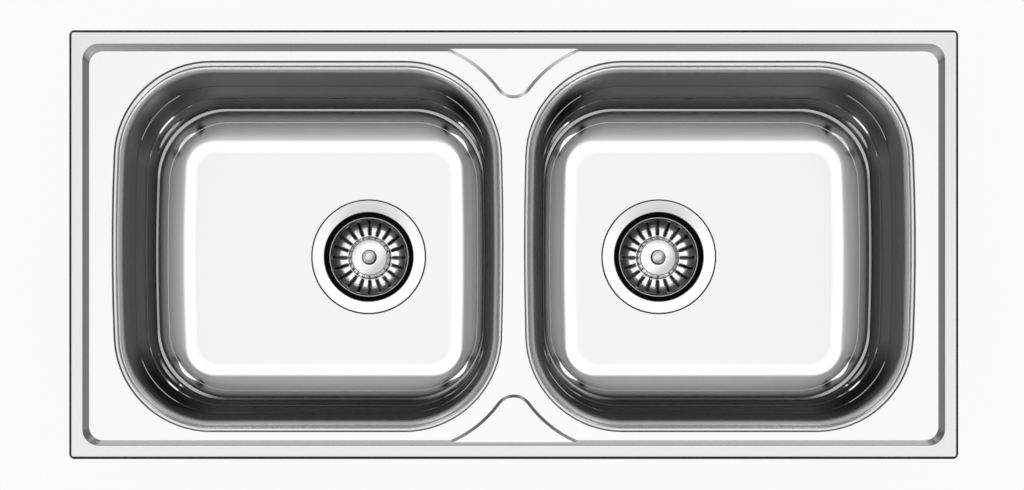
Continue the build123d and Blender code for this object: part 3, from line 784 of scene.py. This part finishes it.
# the cup's floor takes the flange's darkest tone, painted shade deep in the waste
CUP_STATION = 9                 # the tone of the cup's floor


def drain_point(side, across, up):
    return Vector((side * DRAIN_X + across, BOWL_Y, FLOOR_Z + up)) * MM


def profile_edges(bm, centre, profile):
    """Vertices and edges of a profile (across, up, station) beside an upright axis."""
    level = bm.verts.layers.float["station"]
    verts = []
    for across, up, station in profile:
        verts.append(bm.verts.new(centre + Vector((across, 0, up)) * MM))
        verts[-1][level] = station
    return verts + [bm.edges.new(pair) for pair in zip(verts, verts[1:])]


def spin_profile(bm, centre, profile, steps=96):
    """Surface of a profile spun once about an upright axis."""
    bmesh.ops.spin(
        bm, geom=profile_edges(bm, centre, profile), cent=centre, axis=(0, 0, 1), angle=2 * pi,
        steps=steps, use_merge=True,
    )
    bmesh.ops.remove_doubles(bm, verts=bm.verts, dist=0.000002)


def make_flange(side, side_name):
    bm = bmesh.new()
    level = bm.verts.layers.float.new("station")
    corners = [
        (58.95, -0.9, 0), (58.95, -0.05, 0.35), (47.3, -0.5, 0.4), (46.8, -7.8, 0.6),
        (42.6, -10.4, 0.8), (42.6, CUP_FLOOR, 2), (40.0, CUP_FLOOR, 0),
    ]
    spin_profile(bm, drain_point(side, 0, 0), rounded(corners, steps=6))
    last = len(corners) - 1
    cup = [e for e in bm.edges if all(abs(v[level] - last) < 0.001 for v in e.verts)]
    for i in range(CUP_HOLES):
        angle = 2 * pi / CUP_HOLES * i
        hole = drain_point(side, CUP_HOLE_RING * cos(angle), CUP_FLOOR)
        hole += Vector((0, CUP_HOLE_RING * sin(angle), 0)) * MM
        ring = bmesh.ops.create_circle(bm, segments=32, radius=CUP_HOLE * MM)["verts"]
        bmesh.ops.translate(bm, verts=ring, vec=hole)
        cup += edges_of(ring)
    middle = bmesh.ops.create_circle(bm, segments=24, radius=SCREW_HOLE * MM)["verts"]
    bmesh.ops.translate(bm, verts=middle, vec=drain_point(side, 0, CUP_FLOOR))
    cup += edges_of(middle)
    bmesh.ops.triangle_fill(bm, use_beauty=True, use_dissolve=False, edges=cup)
    for v in bm.verts:
        if v.co.z < (FLOOR_Z + CUP_FLOOR + 0.01) * MM:
            v[level] = CUP_STATION
    made = piece(f"turned_flange_{side_name}", bm, "root", flange_steel,
                 [f"waste_flange_{side_name}"])
    thicken(made, 0.9)
    level_flats(made)
    return made


for side, side_name in SIDES:
    flange = make_flange(side, side_name)
    print(flange.name, len(flange.data.vertices), "vertices")

# %% [markdown]
# ## Strainer baskets
# The basket is pressed from one sheet: a plateau in the middle, a flat floor, a curved wall and
# a rolled rim, with twenty slots cut through floor and wall. It is the same every 18 degrees, so
# one sector is laid out as a grid, the slot's faces are deleted, and the rest is spun round as
# copies. Small bleed holes pierce the rim of the plateau in line with the slots.

# %% One sector, then twenty
SLOTS = 20
ROW = 7                         # vertices across a sector
SLOT_START, SLOT_END = 23.4, 39.0
SLOT_HALF, SLOT_ENDS = 1.15, (24.5, 37.9)   # half width, and where its round ends begin
WALL_START, WALL_GROWTH = 32, 0.06          # up the wall the slots widen
BLEED_START, BLEED_END, BLEED_HALF = 19.9, 20.9, 0.75
SLOT_RADII = (
    BLEED_START, BLEED_END, SLOT_START, 23.5, 23.7, 24.0, 24.5, 26.0, 37.9, 38.4, 38.7, 38.9,
    SLOT_END,
)


def at_radii(profile, radii):
    """The profile with points added where it crosses the radii."""
    points = [profile[0]]
    for before, after in zip(profile, profile[1:]):
        for radius in radii:
            if before[0] + 0.001 < radius < after[0] - 0.001:
                points.append(before.lerp(after, (radius - before[0]) / (after[0] - before[0])))
        points.append(after)
    return points


def half_slot(radius):
    """Half the slot's width at a radius, narrowing in its rounded ends."""
    if radius < 22:
        return BLEED_HALF
    short = max(SLOT_ENDS[0] - radius, radius - SLOT_ENDS[1], 0)
    wide = SLOT_HALF + WALL_GROWTH * max(0, radius - WALL_START)
    return sqrt(max(0.02, wide**2 - short**2))


def make_basket(side, side_name):
    corners = [
        (3.1, -7.65, 0), (9.5, -8.0, 0), (14.5, -8.5, 0), (18.3, -9.1, 0.3), (18.8, -9.9, 0.2),
        (19.2, -9.7, 0.2), (21.3, -10.2, 0.4), (22.2, -17, 1.0), (35.3, -17, 9), (40.0, -5.3, 0),
        (40.1, -4.7, 0), (40.6, -4.25, 0), (41.3, -4.25, 0), (41.75, -4.6, 0), (41.88, -5.2, 0),
        (41.5, -6.0, 0),
    ]
    profile = at_radii(rounded(corners, steps=8), SLOT_RADII)
    bm = bmesh.new()
    level = bm.verts.layers.float.new("station")
    grid = bmesh.ops.create_grid(
        bm, x_segments=len(profile) - 1, y_segments=ROW - 1, size=1,
    )["verts"]
    grid.sort(key=lambda v: (round(v.co.x, 5), round(v.co.y, 5)))
    centre = drain_point(side, 0, 0)
    sector = 2 * pi / SLOTS
    for i, v in enumerate(grid):
        across, up, station = profile[i // ROW]
        slot = asin(half_slot(across) / across) if across > 4 else sector / 6
        edge = sector / 2
        column = (-edge, -(slot + edge) / 2, -slot, 0, slot, (slot + edge) / 2, edge)
        angle = column[i % ROW]
        v.co = centre + Vector((across * cos(angle), across * sin(angle), up)) * MM
        v[level] = station
    gone = []
    for face in bm.faces:
        middle = face.calc_center_median() - centre
        radius = middle.xy.length / MM
        width = abs(middle.y) / MM
        pierced = SLOT_START < radius < SLOT_END or BLEED_START < radius < BLEED_END
        if width < half_slot(radius) and pierced:
            gone.append(face)
    bmesh.ops.delete(bm, geom=gone, context="FACES")
    bmesh.ops.spin(
        bm, geom=bm.verts[:] + bm.edges[:] + bm.faces[:], cent=centre, axis=(0, 0, 1),
        angle=2 * pi - sector, steps=SLOTS - 1, use_duplicate=True,
    )
    bmesh.ops.remove_doubles(bm, verts=bm.verts, dist=0.000003)
    made = piece(f"pressed_basket_{side_name}", bm, f"strainer_{side_name}", basket_steel,
                 [f"basket_{side_name}"])
    # the slots' cut sides take the near-black painted shade
    made.data.materials.append(slot_painted_shade)
    thicken(made, 0.45, rim=1)
    return made


for side, side_name in SIDES:
    basket = make_basket(side, side_name)
    print(basket.name, len(basket.data.vertices), "vertices")

# %% [markdown]
# ## Knobs
# A knob is turned from bar: a low dome to pull by, a neck and the stem that drops into the
# waste. It is one profile spun about the drain's axis, and it moves with its basket.

# %% Pull knobs on their stems
def make_knob(side, side_name):
    bm = bmesh.new()
    bm.verts.layers.float.new("station")
    spin_profile(bm, drain_point(side, 0, 0), rounded([
        (0.0, -1.3, 0), (3.6, -1.45, 8.0), (6.8, -2.2, 0.6), (7.2, -3.2, 0.4), (7.15, -6.0, 0.5),
        (4.2, -6.0, 0), (4.2, -7.6, 0), (3.0, -7.6, 0), (3.0, -24.2, 0.6), (0.0, -24.2, 0),
    ], steps=8), steps=48)
    made = piece(f"turned_knob_{side_name}", bm, f"strainer_{side_name}", knob_chrome,
                 [f"basket_knob_{side_name}"])
    return made


for side, side_name in SIDES:
    knob = make_knob(side, side_name)
    print(knob.name, len(knob.data.vertices), "vertices")

# %% [markdown]
# ## Threaded screws
# A clip's screw has a rolled thread up to its tip, a hexagon head and a collar pressed on above
# the jaw. The thread is one pitch of its flank, spun while it climbs, so each turn's top edge
# meets the next one's foot. It is right-handed with the lead that the joint's coupling has, and
# it turns with its own body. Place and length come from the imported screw.

# %% Screws of the clips
THREAD_RADIUS, PITCH = 2.45, 0.8
HEAD_HEIGHT, HEAD_CORNER, HEAD_SOFT = 3.5, 4.618, 0.25
COLLAR_RADIUS, COLLAR_HEIGHT, COLLAR_FOOT, COLLAR_SOFT = 4.0, 1.2, 6.1, 0.15
OVERLAP = 0.1                   # the thread starts inside the head


def make_thread(bm, centre, radius, pitch, length, steps=14):
    """Closed helical thread that climbs from a centre."""
    root = radius - 0.61 * pitch
    turns = int(length / pitch) - 1
    flank = [(root, 0, 0), (radius, 0.42 * pitch, 0), (radius, 0.55 * pitch, 0), (root, pitch, 0)]
    bmesh.ops.spin(
        bm, geom=profile_edges(bm, centre, flank), cent=centre, axis=(0, 0, 1),
        dvec=(0, 0, pitch * MM / steps), angle=2 * pi * turns, steps=steps * turns,
    )
    bmesh.ops.remove_doubles(bm, verts=bm.verts, dist=0.000003)
    bmesh.ops.holes_fill(bm, edges=bm.edges, sides=0)
    return turns


def make_prism(bm, centre, segments, radius, height, soft, turn=0):
    """Prism that stands on a centre, with its edges a little softened."""
    verts = bmesh.ops.create_cone(
        bm, cap_ends=True, segments=segments, radius1=radius * MM, radius2=radius * MM,
        depth=height * MM,
    )["verts"]
    bmesh.ops.rotate(bm, verts=verts, cent=(0, 0, 0), matrix=Matrix.Rotation(turn, 3, "Z"))
    bmesh.ops.translate(bm, verts=verts, vec=centre + Vector((0, 0, height / 2)) * MM)
    rims = [e for e in edges_of(verts) if e.calc_face_angle(0) > radians(50)]
    bmesh.ops.bevel(
        bm, geom=rims, offset=soft * MM, offset_type="OFFSET", affect="EDGES", segments=2,
        profile=0.5, material=-1,
    )


def make_clip_screw(place):
    low, high = (Vector(corner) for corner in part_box(f"clip_screw_{place}"))
    foot = Vector(((low.x + high.x) / 2, (low.y + high.y) / 2, low.z))
    bm = bmesh.new()
    bm.verts.layers.float.new("station")
    length = (high.z - low.z) / MM - HEAD_HEIGHT
    thread_foot = foot + Vector((0, 0, HEAD_HEIGHT - OVERLAP)) * MM
    turns = make_thread(bm, thread_foot, THREAD_RADIUS, PITCH, length)
    corners_along_x = high.x - low.x > high.y - low.y
    head_turn = pi / 2 if corners_along_x else 0
    make_prism(bm, foot, 6, HEAD_CORNER, HEAD_HEIGHT, HEAD_SOFT, turn=head_turn)
    collar = foot + Vector((0, 0, COLLAR_FOOT)) * MM
    make_prism(bm, collar, 32, COLLAR_RADIUS, COLLAR_HEIGHT, COLLAR_SOFT)
    made = piece(f"threaded_screw_{place}", bm, f"screw_{place}", screw_steel,
                 [f"clip_screw_{place}"])
    return made, turns


for body in frame["bodies"]:
    if not body.startswith("screw_"):
        continue
    screw, turns = make_clip_screw(body.removeprefix("screw_"))
    print(screw.name, turns, "turns")

# %% [markdown]
# ## Studio
# A plain pale floor that looks white to the camera and in reflections, four soft disk lamps high
# up beyond the sink's corners, and a world that is bright overhead, dark in a ring 38 to 54
# degrees away from there and lighter again toward the horizon. So level steel reads white, and
# it turns dark where it bends away.

# %% Floor, light and world
FLOOR_SIZE, FLOOR_DROP, FLOOR_TONE = 12, 0.0002, 0.93
LAMP_PLACES = ((-2.45, -2.95), (2.45, -2.95), (2.5, 4.75), (-2.5, 4.75))
LAMP_HEIGHT, LAMP_SIZE, LAMP_ENERGY = 6.0, 1.7, 18
SKY_TILT = (0.0, -0.06, 1)      # the bright part leans a little to the front
SKY_STOPS = ((66, 0.6), (54, 0.16), (38, 0.12), (31, 0.3), (24, 1.0))   # degrees, tone
HORIZON_TONE, SKY_STRENGTH = 0.7, 1.3

bm = bmesh.new()
bmesh.ops.create_grid(bm, x_segments=1, y_segments=1, size=FLOOR_SIZE)
bmesh.ops.translate(bm, verts=bm.verts, vec=(0, 0, cad_box[0][2] - FLOOR_DROP))
floor_mesh = bpy.data.meshes.new("floor")
bm.to_mesh(floor_mesh)
bm.free()
floor = bpy.data.objects.new("floor", floor_mesh)
bpy.context.scene.collection.objects.link(floor)
floor_paint = finish(
    "floor_paint", (FLOOR_TONE, FLOOR_TONE, FLOOR_TONE), 0.7, metallic=0, grain=(2, 2, 2),
    mottle=0.005, play=0.02, lift=0.0,
)
tree = floor_paint.node_tree
path = add(tree, "ShaderNodeLightPath").outputs
seen = add(tree, "ShaderNodeMath", {0: path["Is Camera Ray"], 1: path["Is Glossy Ray"]})
seen = add(tree, "ShaderNodeMath", {0: seen.outputs[0], 1: path["Is Transmission Ray"]})
share = add(tree, "ShaderNodeMath", {0: seen.outputs[0], 1: FLOOR_TONE}, operation="MULTIPLY")
glow = add(tree, "ShaderNodeEmission", {"Color": grey(1.0), "Strength": 1.0})
shader = tree.nodes["Principled BSDF"]
mixed = add(tree, "ShaderNodeMixShader", {
    0: share.outputs[0], 1: shader.outputs[0], 2: glow.outputs[0],
})
tree.links.new(mixed.outputs[0], tree.nodes["Material Output"].inputs["Surface"])
floor_mesh.materials.append(floor_paint)

for x, y in LAMP_PLACES:
    lamp = bpy.data.lights.new("corner_lamp", "AREA")
    lamp.shape = "DISK"
    lamp.size = LAMP_SIZE
    lamp.energy = LAMP_ENERGY
    stand = bpy.data.objects.new("corner_lamp", lamp)
    bpy.context.scene.collection.objects.link(stand)
    stand.location = (x, y, LAMP_HEIGHT)
    stand.rotation_euler = Vector(stand.location).to_track_quat("Z", "Y").to_euler()

world = bpy.data.worlds.new("studio")
bpy.context.scene.world = world
world.use_nodes = True
tree = world.node_tree
ways = add(tree, "ShaderNodeTexCoord").outputs["Generated"]
axis = tuple(Vector(SKY_TILT).normalized())
spread = add(tree, "ShaderNodeVectorMath", {0: ways, 1: axis}, operation="DOT_PRODUCT")
stops = [(cos(radians(away)), tone) for away, tone in SKY_STOPS]
sky = ramp(tree, spread.outputs["Value"], [(0.0, HORIZON_TONE), *stops, (1.0, 1.0)])
tree.links.new(sky, tree.nodes["Background"].inputs["Color"])
tree.nodes["Background"].inputs["Strength"].default_value = SKY_STRENGTH
bpy.context.scene.view_settings.view_transform = "Standard"
print("studio ready")
